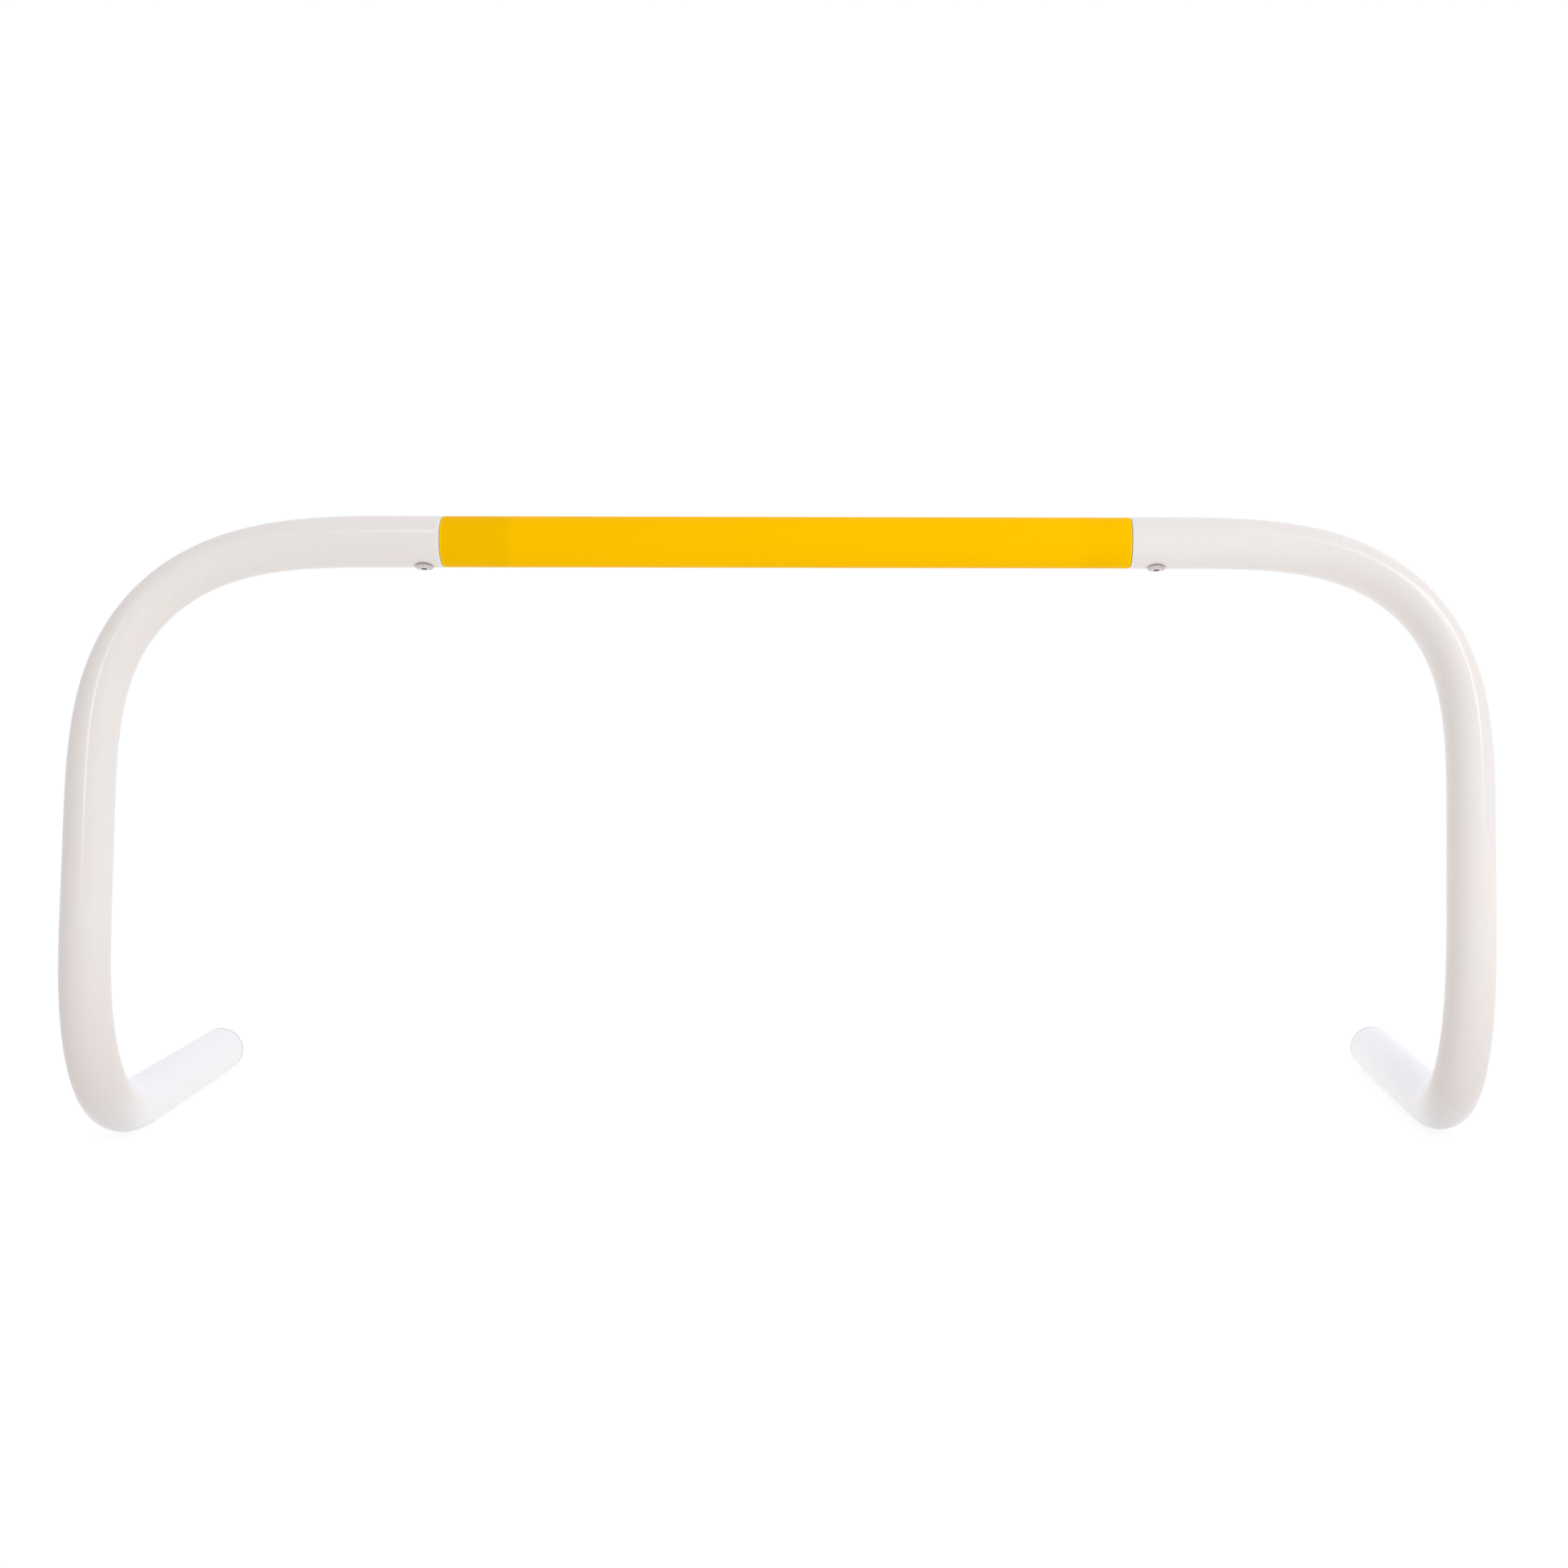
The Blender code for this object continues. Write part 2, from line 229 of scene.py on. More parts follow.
# Leg pipe
leg = {
    "jointRadius": 0.01335,
    "neckRadius": 0.0119,  # the pipe was drawn thinner between its two bends
    "footRadius": 0.01275,
    "wall": 0.0026,
    "gap": 0.0001,  # from the middle of the joint
    "stub": 0.032,  # level run before the corner
    "lean": math.radians(22.0),
    "cornerAngle": math.radians(95.5),
    "cornerLength": 0.236,
    "neckedBy": 0.72,  # share of the corner
    "footBendLength": 0.164,
    "widerFrom": 0.25,  # shares of the foot bend
    "widerBy": 0.80,
    "footLength": 0.180,  # with the flange of its cap
    "splay": math.radians(4.3),
    "ease": 0.80,  # 1 lets a bend start and end as gently as it can
    "flattening": 0.07,  # in the plane of each bend
    "cornerWidening": 0.05,
    "footWidening": 0.01,
    "cadSides": 24,  # the foot stands on one flat side of its solid
    "facets": 80,
    "ringGap": 0.003,
    "ringParts": 8,  # steps of the bend between two rings
    "endRounding": 0.0007,
}


def easedAngle(along, total):
    return total * (along - leg["ease"] * math.sin(math.tau * along) / math.tau)


def easedValue(start, end, share):
    eased = (1 - math.cos(math.pi * min(max(share, 0), 1))) / 2
    return start + (end - start) * eased


def bendPath(start, heading, towards, length, total):
    rings = round(length / leg["ringGap"])
    parts = rings * leg["ringParts"]
    point = start.copy()
    path = []
    for part in range(parts):
        angle = easedAngle((part + 0.5) / parts, total)
        point += (math.cos(angle) * heading + math.sin(angle) * towards) * (length / parts)
        if (part + 1) % leg["ringParts"] == 0:
            along = (part + 1) / parts
            angle = easedAngle(along, total)
            tangent = math.cos(angle) * heading + math.sin(angle) * towards
            path.append((point.copy(), tangent, along, length / rings))
    return path


def runPath(start, heading, length):
    rings = max(1, round(length / leg["ringGap"]))
    step = length / rings
    return [(start + heading * step * (i + 1), step) for i in range(rings)]


def legSection(point, heading, across, radius, step, along=0.0, widening=0.0, offset=0.0):
    # A matrix that sets a circle of radius 1 on the path, and the length of pipe before it.
    swell = math.sin(math.pi * along) ** 2
    wide = radius * (1 + widening * swell)
    deep = radius * (1 - leg["flattening"] * swell)
    shape = Matrix.Diagonal((wide, deep, 1, 1)) @ Matrix.Rotation(offset, 4, "Z")
    return frameAt(point, heading, across) @ shape, step


def footHeading(side):
    return Vector((side * math.sin(leg["splay"]), math.cos(leg["splay"]), 0))


def legPath(side):
    outward = Vector((side, 0, 0))
    down = Vector((0, -math.sin(leg["lean"]), -math.cos(leg["lean"])))
    foot = footHeading(side)
    across = outward.cross(down)
    at = Vector((side * jointX, barAxis.y, barAxis.z)) + outward * leg["gap"]
    path = [legSection(at, outward, across, leg["jointRadius"], 0.0)]
    for at, step in runPath(at, outward, leg["stub"] - leg["gap"]):
        path.append(legSection(at, outward, across, leg["jointRadius"], step))
    corner = bendPath(at, outward, down, leg["cornerLength"], leg["cornerAngle"])
    for at, shank, along, step in corner:
        radius = easedValue(leg["jointRadius"], leg["neckRadius"], along / leg["neckedBy"])
        path.append(legSection(at, shank, across, radius, step, along, leg["cornerWidening"]))

    # The straight run keeps the corner's last heading and is long enough to set the foot on the floor.
    towards = (foot - foot.dot(shank) * shank).normalized()
    footAngle = shank.angle(foot)
    footAxis = leg["footRadius"] * math.cos(math.pi / leg["cadSides"])
    drop = -bendPath(Vector(), shank, towards, leg["footBendLength"], footAngle)[-1][0].z
    for at, step in runPath(at, shank, (at.z - footAxis - drop) / -shank.z):
        path.append(legSection(at, shank, across, leg["neckRadius"], step))

    # The foot bend lies in another plane, and the offset keeps the facets of its rings in line.
    acrossFoot = shank.cross(towards)
    offset = -math.atan2(across.cross(acrossFoot).dot(shank), across.dot(acrossFoot))
    footBend = bendPath(at, shank, towards, leg["footBendLength"], footAngle)
    for at, heading, along, step in footBend:
        widened = (along - leg["widerFrom"]) / (leg["widerBy"] - leg["widerFrom"])
        radius = easedValue(leg["neckRadius"], leg["footRadius"], widened)
        widening = leg["footWidening"]
        path.append(legSection(at, heading, acrossFoot, radius, step, along, widening, offset))
    for at, step in runPath(at, foot, leg["footLength"] - cap["flange"] - cap["gap"]):
        path.append(legSection(at, foot, acrossFoot, leg["footRadius"], step, offset=offset))
    return path


def legPipe(path):
    bm = bmesh.new()
    pipe = bm.verts.layers.float_vector.new("pipe")  # place on the pipe before it was bent
    ring = bmesh.ops.create_circle(bm, segments=leg["facets"], radius=1)["verts"]
    for vert in ring:
        vert[pipe] = Vector((0, vert.co.x, vert.co.y)) * leg["jointRadius"]
    edges = bm.edges[:]
    bmesh.ops.transform(bm, matrix=path[0][0], verts=ring)
    for (before, _), (section, step) in zip(path, path[1:]):
        drawn = bmesh.ops.extrude_edge_only(bm, edges=edges)["geom"]
        ring = [item for item in drawn if isinstance(item, bmesh.types.BMVert)]
        edges = [item for item in drawn if isinstance(item, bmesh.types.BMEdge)]
        bmesh.ops.transform(bm, matrix=section @ before.inverted(), verts=ring)
        for vert in ring:
            vert[pipe] = vert[pipe] + Vector((step, 0, 0))
    bmesh.ops.recalc_face_normals(bm, faces=bm.faces)
    bmesh.ops.solidify(bm, geom=bm.faces[:], thickness=leg["wall"])
    for vert in bm.verts:
        vert.co.z = max(vert.co.z, 0)
    softenEdges(bm, leg["endRounding"])
    return bm


whitePipe = {
    "warm": (0.785, 0.727, 0.700, 1),
    "cool": (0.778, 0.743, 0.720, 1),
    "tintGrain": (25, 60, 60),  # a grain is given by how many go to a metre
    "tintRange": (0.35, 0.65),
    "stub": (0.808, 0.762, 0.738, 1),  # painted light: the level run by the joint is lighter, as more light falls there
    "litStubTo": (0.200, 0.080),  # along the pipe
    "bent": (0.740, 0.688, 0.665, 1),  # painted shade: the foot bend is darker, as less light reaches it near the floor
    "bentFrom": (0.330, 0.395),
    # Painted light: the foot is lighter and bluer, as more light from the floor and backdrop falls on
    # it.
    "foot": (0.825, 0.812, 0.840, 1),
    "litFootFrom": (0.410, 0.450),
    "cut": (0.80, 0.80, 0.86, 1),  # the sawn end is paler and bluer: partly its bare plastic, partly a painted highlight where the edge catches light
    "cutWidth": 0.0008,
    "speck": (0.30, 0.27, 0.25, 1),
    "speckGrain": 120,
    "speckSize": 0.034,  # share of a grain
    "speckChance": 0.55,
    "speckCover": 0.55,
    "scuffedAndShaded": (0.62, 0.60, 0.58, 1),
    "scuffAndShadeHeight": 0.0035,  # below this the feet are rubbed dull and darker, partly wear and partly painted shade where they meet the floor
    "scuffRange": (-0.6, 1.0),
    "drawGrain": (3, 900, 900),  # long lines from the pipe's die
    "scratchGrain": (60, 260, 260),
    "scratchShift": (0.3, 0, 0),
    "scratchRange": (0.56, 0.78),
    "fineGrain": (700, 700, 700),
    "roughness": 0.15,
    "drawRoughness": 0.06,
    "scratchRoughness": 0.10,
    "scuffRoughness": 0.25,
    "drawHeight": 0.5,  # shares of the bump
    "fineHeight": 0.1,
    "speckHeight": -0.6,
    "bump": 0.04,
    "bumpDepth": 0.0002,
}


def scratchesOn(place, look):
    marks = place.stretched(look["scratchGrain"], look["scratchShift"])
    return marks.clouds(detail=5, roughness=0.7).between(*look["scratchRange"])


def makeWhitePipe(name):
    material, shader = newFinish(name)
    place = attributeOf(shader, "pipe").part("Vector")
    length = place.axis("X")
    height = ownPlace(shader).axis("Z")
    tint = place.stretched(whitePipe["tintGrain"]).clouds(detail=3).between(*whitePipe["tintRange"])
    drawLines = place.stretched(whitePipe["drawGrain"]).clouds()
    scratches = scratchesOn(place, whitePipe)
    fine = place.stretched(whitePipe["fineGrain"]).clouds()
    dots = place.node("ShaderNodeTexVoronoi", {}, {"Vector": place, "Scale": whitePipe["speckGrain"]})
    lottery = dots.node("ShaderNodeSeparateColor", {}, {0: dots.part("Color")})
    speck = (dots < whitePipe["speckSize"]) * (lottery > 1 - whitePipe["speckChance"])
    speck = speck * (length < whitePipe["litFootFrom"][0])
    rubbedAndShaded = height.between(whitePipe["scuffAndShadeHeight"], 0.0) * scratches.between(*whitePipe["scuffRange"])

    colour = tint.blend(whitePipe["warm"], whitePipe["cool"])
    # Painted light by the joint and on the foot, painted shade at the foot bend.
    colour = length.between(*whitePipe["litStubTo"]).blend(colour, whitePipe["stub"])
    colour = length.between(*whitePipe["bentFrom"]).blend(colour, whitePipe["bent"])
    colour = length.between(*whitePipe["litFootFrom"]).blend(colour, whitePipe["foot"])
    colour = (speck * whitePipe["speckCover"]).blend(colour, whitePipe["speck"])
    # Rubbed dull and partly painted shade low on the feet, and a sawn end partly painted as a
    # highlight.
    colour = rubbedAndShaded.blend(colour, whitePipe["scuffedAndShaded"])
    colour = (length < whitePipe["cutWidth"]).blend(colour, whitePipe["cut"])

    roughness = whitePipe["roughness"] + drawLines * whitePipe["drawRoughness"]
    roughness += scratches * whitePipe["scratchRoughness"]
    roughness += rubbedAndShaded * whitePipe["scuffRoughness"]
    relief = drawLines * whitePipe["drawHeight"] + fine * whitePipe["fineHeight"]
    relief += speck * whitePipe["speckHeight"]
    plug(shader, {"Base Color": colour, "Roughness": roughness, "Normal": relief.bump(whitePipe)})
    return material


# Crossbar
bar = {
    "gap": 0.00015,  # from the middle of the joint
    "radius": 0.01314,
    "wall": 0.00239,
    "endRounding": 0.0003,
    "steps": 96,
}


def buildBar():
    half = jointX - bar["gap"]
    inner = bar["radius"] - bar["wall"]
    profile = [(inner, -half), (bar["radius"], -half), (bar["radius"], half), (inner, half)]
    bm = turned(profile, bar["steps"])
    softenEdges(bm, bar["endRounding"])
    place = frameAt(barAxis, Vector((1, 0, 0)), up)
    newPiece("crossbar_pipe", bm, "crossbar", "yellow_tube", "crossbar_tube", place)
    print("crossbar made")


yellowPipe = {
    "body": (1.000, 0.553, 0.000, 1),
    "deep": (0.990, 0.540, 0.000, 1),
    "deepShare": 0.4,
    "tintGrain": (6, 60, 60),
    "tintRange": (0.3, 0.7),
    "spigotShadeColour": (0.935, 0.520, 0.000, 1),  # painted shade: the translucent wall looks darker where the dark spigot lies behind it, and it stays on the bar
    "spigotShows": {"left": 0.9, "right": 0.65},
    "spigotFade": (-0.0035, 0.0025),  # from the spigot's end
    # Painted highlight where the sawn ends catch light.
    "cut": (1.000, 0.680, 0.000, 1),
    "cutWidth": 0.00075,
    "drawGrain": (2.5, 1000, 1000),
    "scratchGrain": (50, 300, 300),
    "scratchShift": (0.1, 0, 0),
    "scratchRange": (0.58, 0.8),
    "roughness": 0.24,
    "drawRoughness": 0.08,
    "scratchRoughness": 0.10,
    "bump": 0.03,
    "bumpDepth": 0.0002,
    "specular": 0.008,  # hardly any, or its edges turn pale
    "gleam": (1.0, 0.78, 0.0, 1),
}


def makeYellowPipe(name):
    material, shader = newFinish(name)
    place = ownPlace(shader)
    along = place.axis("X")
    tint = place.stretched(yellowPipe["tintGrain"]).clouds(detail=3).between(*yellowPipe["tintRange"])
    drawLines = place.stretched(yellowPipe["drawGrain"]).clouds()
    scratches = scratchesOn(place, yellowPipe)
    # Painted shade over the spigots, and a painted highlight at the sawn ends.
    spigotShade = 0.0
    for end, side in sides.items():
        spigotEnd = jointX - spigot["inBar"][end]
        start, full = [side * (spigotEnd + fade) for fade in yellowPipe["spigotFade"]]
        spigotShade = along.between(start, full) * yellowPipe["spigotShows"][end] + spigotShade
    cutFrom = jointX - bar["gap"] - yellowPipe["cutWidth"]

    colour = (tint * yellowPipe["deepShare"]).blend(yellowPipe["body"], yellowPipe["deep"])
    colour = spigotShade.blend(colour, yellowPipe["spigotShadeColour"])
    colour = (along * along > cutFrom ** 2).blend(colour, yellowPipe["cut"])

    roughness = yellowPipe["roughness"] + drawLines * yellowPipe["drawRoughness"]
    roughness += scratches * yellowPipe["scratchRoughness"]
    plug(shader, {
        "Base Color": colour,
        "Roughness": roughness,
        "Normal": drawLines.bump(yellowPipe),
        "Specular IOR Level": yellowPipe["specular"],
        "Specular Tint": yellowPipe["gleam"],
    })
    return material


# Spigots inside the joints
spigot = {
    "length": 0.060,
    "inBar": {"left": 0.0345, "right": 0.0245},
    "radius": 0.01045,
    "wall": 0.0020,
    "endRounding": 0.0007,
    "steps": 80,
    "dark": (0.33, 0.33, 0.34, 1),
    "light": (0.38, 0.38, 0.39, 1),
    "drawGrain": (4, 800, 800),
    "drawRange": (0.3, 0.7),
    "roughness": 0.42,
    "drawRoughness": 0.16,
    "bump": 0.15,
    "bumpDepth": 0.0002,
}


def buildSpigot(name, place):
    near = -spigot["inBar"][name]
    far = near + spigot["length"]
    outer = spigot["radius"]
    inner = outer - spigot["wall"]
    bm = turned([(inner, near), (outer, near), (outer, far), (inner, far)], spigot["steps"])
    softenEdges(bm, spigot["endRounding"])
    newPiece(f"{name}_spigot_pipe", bm, f"{name}_leg", "grey_spigot", f"{name}_spigot", place)


def makeSpigotGrey(name):
    material, shader = newFinish(name)
    drawLines = ownPlace(shader).stretched(spigot["drawGrain"]).clouds()
    plug(shader, {
        "Base Color": drawLines.between(*spigot["drawRange"]).blend(spigot["dark"], spigot["light"]),
        "Roughness": spigot["roughness"] + drawLines * spigot["drawRoughness"],
        "Normal": drawLines.bump(spigot),
    })
    return material


# Rivets and their broken mandrels. Heights are from the pipe's axis, and what lies behind the spigot's
# wall is measured from its inner face.
rivet = {
    "fromJoint": {"left": 0.0094, "right": 0.0134},
    "tilt": math.radians(14),
    "seat": 0.0134,
    "rim": 0.01395,
    "top": 0.01495,
    "head": 0.00475,
    "headEdge": 0.0002,
    "domeSteps": 24,
    "mouth": 0.00185,
    "mouthWall": 0.0001,
    "mouthDepth": 0.0004,  # this and the next below the top
    "throatDepth": 0.0010,
    "bore": 0.0014,
    "boreEnd": 0.0013,  # behind the spigot's wall, as the next ends and depths
    "shank": 0.0024,
    "shankEnd": 0.0009,
    "bulb": 0.0035,
    "bulbFrom": 0.0015,
    "bulbTo": 0.0033,
    "pocket": 0.00255,  # the bulb's hollow, round the mandrel's head
    "pocketFrom": 0.0018,
    "end": 0.0030,
    "endDepth": 0.0040,
    "steps": 72,
    "grooves": ((0.0030, 0.00016), (0.0039, 0.00014)),  # radius and half width
    "grooveDepth": 0.00008,
    # Painted shade in the grooves.
    "shadeInGroove": (0.50, 0.43, 0.44, 1),
    "polished": (0.0022, 0.00032, (0.90, 0.86, 0.90, 1)),  # ring rubbed bright by the setting tool
    # Painted shade under the head's rim, where it sits on the pipe.
    "shadeUnderRim": (0.0049, 0.0002, (0.36, 0.31, 0.31, 1)),
    "light": (0.77, 0.70, 0.69, 1),
    "dark": (0.56, 0.48, 0.48, 1),
    "roughness": 0.24,
    "grain": 2500,
}

mandrel = {
    "broken": (  # radius and depth below the rivet's top
        (0.0, 0.0006),
        (0.0006, 0.00055),
        (0.0011, 0.0005),
        (0.0015, 0.00035),
        (0.0016, 0.0005),
    ),
    "brokenDepth": 0.0012,  # the ragged part, below the rivet's top
    "ragged": 0.00016,
    "raggedGrain": 2600,
    "stem": 0.00128,
    "stemEnd": 0.0017,
    "head": 0.0022,
    "headFrom": 0.0024,
    "headTo": 0.0044,
    "end": 0.0015,
    "endDepth": 0.0049,
    "steps": 48,
    "light": (0.24, 0.19, 0.19, 1),
    "dark": (0.07, 0.05, 0.05, 1),
    "roughness": 0.42,
    "grain": 4000,
}

metal = {
    "grainRange": (0.3, 0.7),
    "grainRoughness": 0.18,
    "bump": 0.2,
    "bumpDepth": 0.0001,
}


def domeProfile():
    # From the rim in to the mouth, along a part of a sphere.
    dome = rivet["top"] - rivet["rim"]
    sphere = (rivet["head"] ** 2 + dome ** 2) / (2 * dome)
    span = rivet["head"] - rivet["headEdge"] - rivet["mouth"]
    points = []
    for i in range(rivet["domeSteps"], -1, -1):
        radius = rivet["mouth"] + span * i / rivet["domeSteps"]
        height = rivet["rim"] + math.sqrt(sphere ** 2 - radius ** 2) - (sphere - dome)
        if any(abs(radius - middle) < half for middle, half in rivet["grooves"]):
            height -= rivet["grooveDepth"]
        points.append((radius, height))
    return points


def buildRivet(name, place):
    inside = spigot["radius"] - spigot["wall"]
    head = rivet["head"]
    edge = rivet["headEdge"]
    shell = turned([
        (head - edge / 2, rivet["rim"] - edge / 4),
        *domeProfile(),
        (rivet["mouth"] - rivet["mouthWall"], rivet["top"] - rivet["mouthDepth"]),
        (rivet["bore"], rivet["top"] - rivet["throatDepth"]),
        (rivet["bore"], inside - rivet["boreEnd"]),
        (rivet["pocket"], inside - rivet["pocketFrom"]),
        (rivet["pocket"], inside - rivet["endDepth"]),
        (rivet["end"], inside - rivet["endDepth"]),
        (rivet["bulb"], inside - rivet["bulbTo"]),
        (rivet["bulb"], inside - rivet["bulbFrom"]),
        (rivet["shank"], inside - rivet["shankEnd"]),
        (rivet["shank"], rivet["seat"]),
        (head - edge, rivet["seat"]),
        (head, rivet["seat"] + edge),
        (head, rivet["rim"] - edge),
    ], rivet["steps"])
    ring = shell.verts.layers.float.new("ring")  # distance from the rivet's axis
    for vert in shell.verts:
        vert[ring] = vert.co.xy.length
    body = f"{name}_leg"
    newPiece(f"{name}_rivet_shell", shell, body, "rivet_aluminium", f"{name}_rivet_body", place)

    stem = turned([
        *[(radius, rivet["top"] - depth) for radius, depth in mandrel["broken"]],
        (mandrel["stem"], rivet["top"] - mandrel["brokenDepth"]),
        (mandrel["stem"], inside - mandrel["stemEnd"]),
        (mandrel["head"], inside - mandrel["headFrom"]),
        (mandrel["head"], inside - mandrel["headTo"]),
        (mandrel["end"], inside - mandrel["endDepth"]),
        (0.0, inside - mandrel["endDepth"]),
    ], mandrel["steps"], closed=False)
    for vert in stem.verts:
        if vert.co.z > rivet["top"] - mandrel["brokenDepth"]:
            vert.co.z += mandrel["ragged"] * noise.noise(vert.co * mandrel["raggedGrain"])
    newPiece(f"{name}_rivet_stem", stem, body, "mandrel_steel", f"{name}_rivet_mandrel", place)


def makeMetal(name, look, rings=()):
    material, shader = newFinish(name)
    grain = ownPlace(shader).clouds(look["grain"], detail=4, roughness=0.6)
    colour = grain.between(*metal["grainRange"]).blend(look["light"], look["dark"])
    for middle, half, shade in rings:
        off = attributeOf(shader, "ring").part("Fac") - middle
        colour = (off * off < half * half).blend(colour, shade)
    plug(shader, {
        "Base Color": colour,
        "Metallic": 1.0,
        "Roughness": look["roughness"] + grain * metal["grainRoughness"],
        "Normal": grain.bump(metal),
    })
    return material


# Foot caps
cap = {
    "flange": 0.0020,
    "gap": 0.0003,
    "rounding": 0.0008,
    "roundSteps": 6,
    "dimple": (0.0007, 0.0011),  # radii of the mark left by the mould
    "dimpleDepth": 0.00025,
    "plug": 0.014,
    "wall": 0.0018,
    "core": 0.0092,
    "leadIn": 0.0004,
    "rib": 0.00985,
    "ribs": 3,
    "firstRib": 0.0027,
    "ribPitch": 0.0036,
    "ribSlope": 0.0004,
    "steps": 96,
    "light": (0.81, 0.81, 0.82, 1),
    "dark": (0.79, 0.79, 0.79, 1),
    "tintGrain": 40,
    "tintRange": (0.3, 0.7),
    "fineGrain": 1800,
    "roughness": 0.38,
    "fineRoughness": 0.16,
    "bump": 0.15,
    "bumpDepth": 0.0001,
}


def buildCap(name, place):
    outer = leg["footRadius"]
    rounding = []
    for i in range(cap["roundSteps"] + 1):
        turn = math.pi / 2 * i / cap["roundSteps"]
        rounding.append((
            outer - cap["rounding"] + cap["rounding"] * math.sin(turn),
            cap["flange"] - cap["rounding"] + cap["rounding"] * math.cos(turn),
        ))
    ribs = []
    for i in range(cap["ribs"]):
        top = -cap["firstRib"] - cap["ribPitch"] * i
        for radius, slopes in ((cap["core"], 0), (cap["rib"], 1), (cap["rib"], 2), (cap["core"], 3)):
            ribs.append((radius, top - cap["ribSlope"] * slopes))
    hollow = cap["core"] - cap["wall"]
    bm = turned([
        (0.0, cap["flange"] - cap["dimpleDepth"]),
        (cap["dimple"][0], cap["flange"] - cap["dimpleDepth"]),
        (cap["dimple"][1], cap["flange"]),
        *rounding,
        (outer, 0.0),
        (cap["core"], 0.0),
        *ribs,
        (cap["core"] - cap["leadIn"], -cap["plug"]),
        (hollow, -cap["plug"]),
        (hollow, 0.0),
        (0.0, 0.0),
    ], cap["steps"], closed=False)
    bmesh.ops.transform(bm, matrix=place, verts=bm.verts)
    for vert in bm.verts:
        vert.co.z = max(vert.co.z, 0)
    newPiece(f"{name}_foot_plug", bm, f"{name}_leg", "white_cap", f"{name}_foot_cap")


def makeCapWhite(name):
    material, shader = newFinish(name)
    place = ownPlace(shader)
    fine = place.clouds(cap["fineGrain"])
    tint = place.clouds(cap["tintGrain"], detail=3).between(*cap["tintRange"])
    plug(shader, {
        "Base Color": tint.blend(cap["light"], cap["dark"]),
        "Roughness": cap["roughness"] + fine * cap["fineRoughness"],
        "Normal": fine.bump(cap),
    })
    return material


def buildLeg(name, side):
    path = legPath(side)
    newPiece(f"{name}_leg_pipe", legPipe(path), f"{name}_leg", "white_tube", f"{name}_leg_tube")
    outward = Vector((side, 0, 0))
    joint = Vector((side * jointX, barAxis.y, barAxis.z))
    buildSpigot(name, frameAt(joint, outward, up))
    rivetAxis = Vector((0, -math.sin(rivet["tilt"]), -math.cos(rivet["tilt"])))
    buildRivet(name, frameAt(joint + outward * rivet["fromJoint"][name], rivetAxis, outward))
    foot = footHeading(side)
    end = path[-1][0].translation + foot * cap["gap"]
    buildCap(name, frameAt(end, foot, up))
    print(name, "leg made")


rivetRings = [(*groove, rivet["shadeInGroove"]) for groove in rivet["grooves"]]
rivetRings += [rivet["polished"], rivet["shadeUnderRim"]]
finishes["white_tube"] = makeWhitePipe("white_pipe")
finishes["yellow_tube"] = makeYellowPipe("yellow_pipe")
finishes["grey_spigot"] = makeSpigotGrey("spigot_grey")
finishes["rivet_aluminium"] = makeMetal("rivet_aluminium", rivet, rivetRings)
finishes["mandrel_steel"] = makeMetal("mandrel_steel", mandrel)
finishes["white_cap"] = makeCapWhite("cap_white")
print("finishes made")

buildBar()
for name, side in sides.items():
    buildLeg(name, side)


# Studio
studio = {
    "floorSize": 12,
    "floorShade": 0.92,
    "floorGlow": 0.05,  # a lit table, which fills the undersides
    "floorWhite": 1.04,
    "shadowShare": 0.16,  # how much of the hurdle's shadow the camera sees
    "backdrop": (0.91, 0.93, 1.00, 1),
    "backdropStrength": 1.10,
    "ambient": 0.935,
    "fromRight": 0.18,
    "fromAbove": 0.08,
    "flag": (-0.58, -0.85),  # a dark cloth on the left
    "flagShade": 0.75,
    "warmSide": (1.00, 0.95, 0.94, 1),
    "coolSide": (0.98, 1.00, 1.00, 1),
}

# Softboxes from start to end. One with a target lights only the pieces whose names start with it.
# A mirrored one shows only as a gleam.
lamps = {
    "upper_strip": {
        "start": (0.65, -1.06, 1.38), "end": (1.28, -0.51, 1.51), "width": 0.20,
        "brightness": 3.2, "target": "right_", "mirrored": True,
    },
    "side_strip": {
        "start": (1.30, -0.50, 1.44), "end": (1.46, -0.85, 1.03), "width": 0.27,
        "brightness": 3.2, "target": "right_", "mirrored": True,
    },
    "left_strip": {
        "start": (-0.56, -2.40, 2.39), "end": (-0.84, -2.40, 2.39), "width": 0.11,
        "brightness": 22.0, "target": "left_", "mirrored": True,
    },
    "right_fill": {
        "start": (-0.35, -1.20, 0.30), "end": (0.15, -1.30, 0.30), "width": 0.50,
        "brightness": 0.65, "target": "right_",
    },
    "rim_panel": {
        "start": (-0.42, 0.38, 0.07), "end": (-0.05, 0.72, 0.07), "width": 0.12,
        "brightness": 8.0, "colour": (0.94, 0.96, 1.0), "target": "right_",
    },
    "front_panel": {
        "start": (0.35, -1.16, 0.50), "end": (0.85, -0.84, 0.50), "width": 0.60,
        "brightness": 1.05, "colour": (0.92, 1.0, 1.0),
    },
}
lampAim = Vector((0, 0, 0.2))  # a point inside the arch, which every lamp faces

view = {
    "frameWidth": 1920,  # pixels, as the next two values
    "focal": 2598,
    "middle": (1100, 962),
    "place": (0.042, -1.099, 0.197),  # its second value is from the crossbar
    "yaw": math.radians(-0.80),
    "pitch": math.radians(-1.18),
    "roll": math.radians(-0.04),
    "sensorWidth": 36,
    "nearest": 0.01,
}


def seenDirectly(start):
    path = start.node("ShaderNodeLightPath")
    return path.atLeast(path.part("Is Glossy Ray")).atLeast(path.part("Is Transmission Ray"))


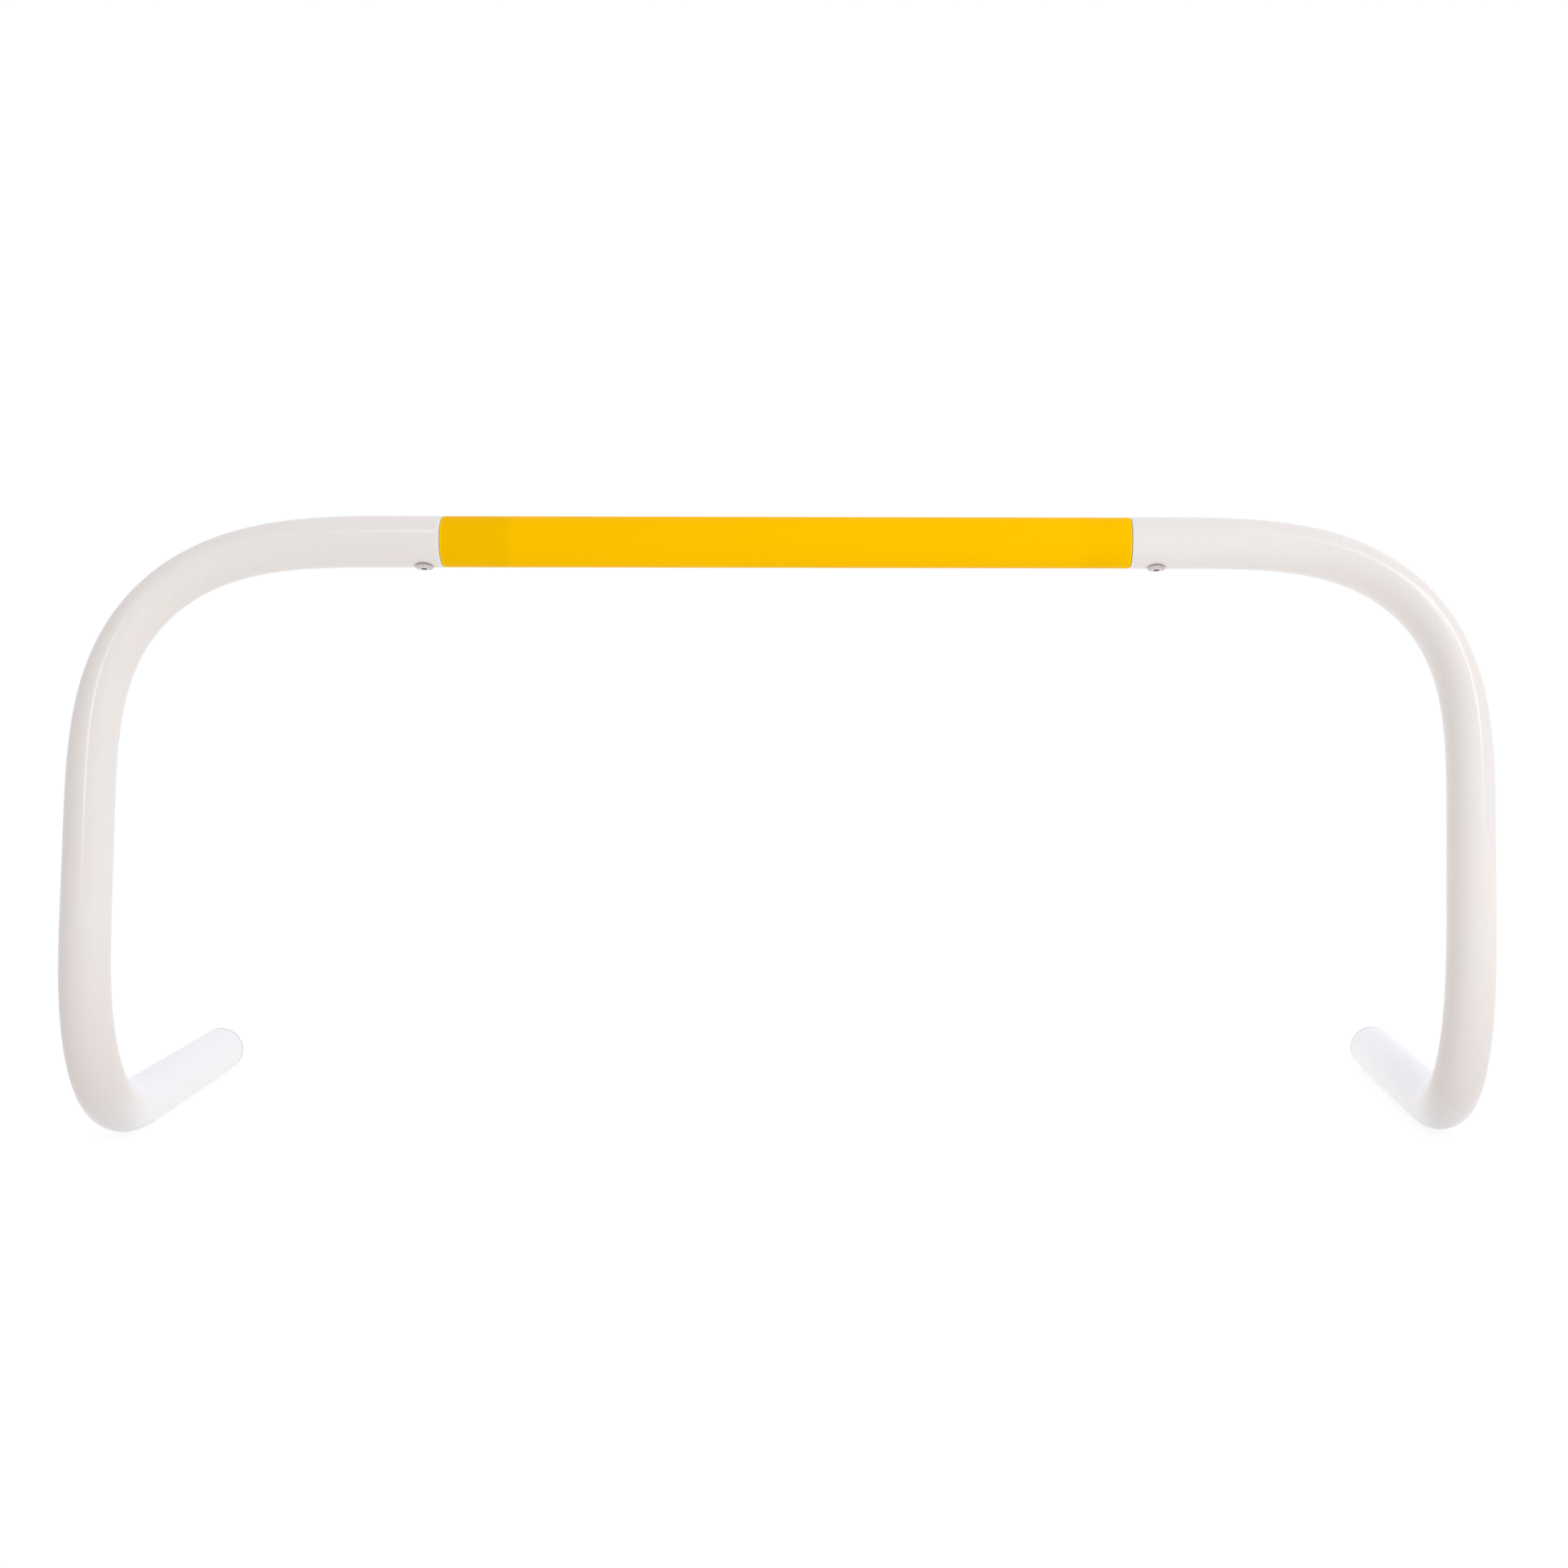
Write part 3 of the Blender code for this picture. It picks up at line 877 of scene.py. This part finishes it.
def buildFloor():
    bm = bmesh.new()
    bmesh.ops.create_grid(bm, x_segments=1, y_segments=1, size=studio["floorSize"] / 2)
    mesh = bpy.data.meshes.new("floor")
    bm.to_mesh(mesh)
    bm.free()
    material = bpy.data.materials.new("pale_floor")
    material.use_nodes = True
    tree = material.node_tree
    tree.nodes.clear()
    start = Wire(tree)
    shade = studio["floorShade"]
    share = studio["shadowShare"]
    white = studio["floorWhite"] - share * studio["ambient"]
    table = start.node("ShaderNodeBsdfDiffuse", {}, {"Color": (shade, shade, shade, 1)})
    lit = start.node("ShaderNodeEmission", {}, {"Strength": studio["floorGlow"]})
    full = start.node("ShaderNodeAddShader", {}, {0: table, 1: lit})
    faint = start.node("ShaderNodeBsdfDiffuse", {}, {"Color": (share, share, share, 1)})
    glow = start.node("ShaderNodeEmission", {}, {"Strength": white})
    pale = start.node("ShaderNodeAddShader", {}, {0: faint, 1: glow})
    mixed = start.node("ShaderNodeMixShader", {}, {0: seenDirectly(start), 1: full, 2: pale})
    start.node("ShaderNodeOutputMaterial", {}, {"Surface": mixed})
    mesh.materials.append(material)
    floor = bpy.data.objects.new("floor", mesh)
    scene.collection.objects.link(floor)


def buildWorld():
    world = bpy.data.worlds.new("studio")
    world.use_nodes = True
    scene.world = world
    tree = world.node_tree
    tree.nodes.clear()
    start = Wire(tree)
    direction = start.node("ShaderNodeTexCoord")
    right = direction.axis("X")
    flagged = right.between(*studio["flag"]) * studio["flagShade"]
    strength = studio["ambient"] + right * studio["fromRight"]
    strength = (strength + direction.axis("Z") * studio["fromAbove"]) * (1 - flagged)
    colour = right.between(-1, 1).blend(studio["warmSide"], studio["coolSide"])
    ambient = start.node("ShaderNodeBackground", {}, {"Color": colour, "Strength": strength})
    white = start.node(
        "ShaderNodeBackground", {},
        {"Color": studio["backdrop"], "Strength": studio["backdropStrength"]},
    )
    mixed = start.node("ShaderNodeMixShader", {}, {0: seenDirectly(start), 1: ambient, 2: white})
    start.node("ShaderNodeOutputWorld", {}, {"Surface": mixed})


def buildLamp(name, start, end, width, brightness, colour=(1, 1, 1), target=None, mirrored=False):
    start, end = Vector(start), Vector(end)
    light = bpy.data.lights.new(name, "AREA")
    light.shape = "RECTANGLE"
    light.size, light.size_y = (end - start).length, width
    light.energy = 4 * brightness * light.size * light.size_y
    light.color = colour
    along = (end - start).normalized()
    middle = (start + end) / 2
    outward = middle - lampAim
    outward = (outward - outward.dot(along) * along).normalized()
    turn = Matrix((along, outward.cross(along), outward)).transposed()
    lamp = bpy.data.objects.new(name, light)
    lamp.matrix_world = Matrix.Translation(middle) @ turn.to_4x4()
    lamp.visible_camera = False
    lamp.visible_diffuse = not mirrored
    lamp.visible_glossy = mirrored
    scene.collection.objects.link(lamp)
    if target:
        lit = bpy.data.collections.new(f"{name}_target")
        for piece in scene.objects:
            if piece.name.startswith(target):
                lit.objects.link(piece)
        lamp.light_linking.receiver_collection = lit


def buildCamera():
    half = view["frameWidth"] / 2
    data = bpy.data.cameras.new("camera")
    data.sensor_fit = "HORIZONTAL"
    data.sensor_width = view["sensorWidth"]
    data.lens = view["focal"] / view["frameWidth"] * view["sensorWidth"]
    data.shift_x = (half - view["middle"][0]) / view["frameWidth"]
    data.shift_y = (view["middle"][1] - half) / view["frameWidth"]
    data.clip_start = view["nearest"]
    camera = bpy.data.objects.new("camera", data)
    yaw = Matrix.Rotation(view["yaw"], 3, up)
    right = yaw @ Vector((1, 0, 0))
    ahead = yaw @ Vector((0, 1, 0))
    ahead = Matrix.Rotation(view["pitch"], 3, right) @ ahead
    right = Matrix.Rotation(view["roll"], 3, ahead) @ right
    turn = Matrix((right, right.cross(ahead), -ahead)).transposed()
    place = Vector(view["place"]) + Vector((0, barAxis.y, 0))
    camera.matrix_world = Matrix.Translation(place) @ turn.to_4x4()
    scene.collection.objects.link(camera)
    scene.camera = camera


buildFloor()
buildWorld()
for name, lamp in lamps.items():
    buildLamp(name, **lamp)
buildCamera()
scene.view_settings.view_transform = "Standard"
print("studio made")
